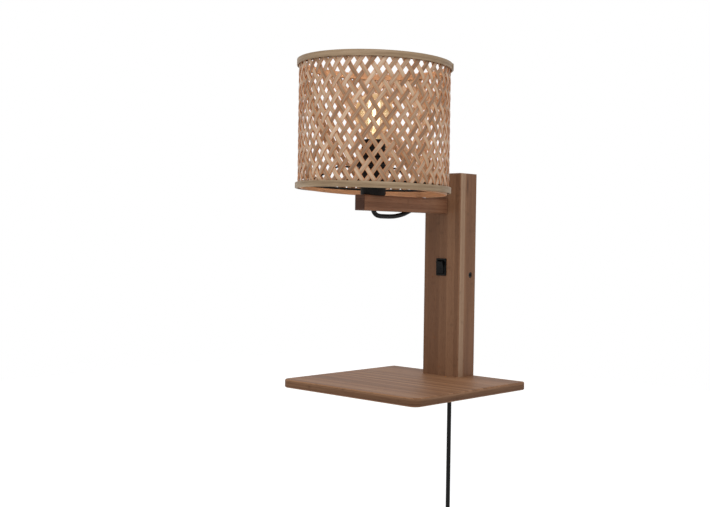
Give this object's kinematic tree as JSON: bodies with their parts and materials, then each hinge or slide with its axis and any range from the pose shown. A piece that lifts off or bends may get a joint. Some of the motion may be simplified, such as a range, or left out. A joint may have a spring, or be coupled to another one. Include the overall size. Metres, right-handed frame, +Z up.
{
  "type": "wall lamp with shelf",
  "caption": "Bamboo wall lamp: a post with a rocker switch, an arm with a woven drum shade and a lit bulb, and a small round-cornered shelf, with a black mains lead hanging from its foot.",
  "frame": {"origin": "middle of the wall bracket's two screws, on the wall's plane, half way up the post", "axes": "+Y into the wall, so the lamp stands out towards -Y; +Z up; +X to the right as seen from the room"},
  "size_m": [0.21, 0.252, 0.648],
  "materials": {
    "bamboo": "stained bamboo board, satin",
    "splint": "thin bamboo splints, satin",
    "hoop": "bent bamboo strip, satin",
    "black_plastic": "black, matt",
    "switch_black": "black, satin",
    "lead_black": "black sheath, satin",
    "core_blue": "insulated single cores",
    "red_plastic": "insulating sleeves",
    "ivory_plastic": "moulded",
    "black_metal": "black, satin",
    "steel": "zinc plated",
    "brass": "plain",
    "cap_metal": "plain",
    "amber_glass": "clear, gold tinted",
    "clear_glass": "clear",
    "filament": "yellow coated light sticks"
  },
  "bodies": {
    "lamp": {"wall_bracket": "steel", "lock_screws": "black_metal", "post_front_board": "bamboo", "post_left_board": "bamboo", "post_right_board": "bamboo", "post_top_block": "bamboo", "shelf_board": "bamboo", "shelf_screws": "steel", "arm": "bamboo", "arm_screws": "steel", "switch_housing": "switch_black", "switch_tabs": "brass", "tab_sleeves": "red_plastic", "terminal_block": "ivory_plastic", "terminal_screws": "brass", "cord_clamp": "ivory_plastic", "cord_clamp_screws": "steel", "lead_bush": "black_plastic", "holder_cap": "black_plastic", "holder_sleeve": "black_plastic", "holder_insert": "ivory_plastic", "holder_contacts": "brass", "nipple": "brass", "shade_spider": "black_metal", "shade_splints_left": "splint", "shade_splints_right": "splint", "shade_top_hoop": "hoop", "shade_bottom_hoop": "hoop", "shade_top_inner_hoop": "hoop", "shade_bottom_inner_hoop": "hoop", "lamp_lead": "lead_black", "inner_cores": "core_blue", "mains_lead_inner": "lead_black", "mains_lead": "lead_black", "lead_coil": "lead_black", "coil_tie": "black_plastic", "lead_tail": "lead_black", "plug_body": "black_plastic", "plug_pins": "steel"},
    "rocker": {"rocker": "switch_black"},
    "bulb": {"bulb_glass": "amber_glass", "bulb_cap": "cap_metal", "bulb_insulator": "black_plastic", "bulb_foot": "cap_metal", "bulb_stem": "clear_glass", "bulb_filaments": "filament"},
    "shade_ring": {"shade_ring_nut": "black_plastic"}
  },
  "joints": [
    {"name": "rocker_tilt", "type": "hinge", "parent": "lamp", "child": "rocker", "pos_m": [0, -0.0326, 0.0095], "axis": [1, 0, 0], "range_deg": [-20, 0]},
    {"name": "bulb_screw", "type": "hinge", "parent": "lamp", "child": "bulb", "pos_m": [0, -0.162, 0.15], "axis": [0, 0, 1], "range_deg": [0, 720]},
    {"name": "ring_screw", "type": "hinge", "parent": "lamp", "child": "shade_ring", "pos_m": [0, -0.162, 0.132], "axis": [0, 0, 1], "range_deg": [0, 1080]}
  ]
}
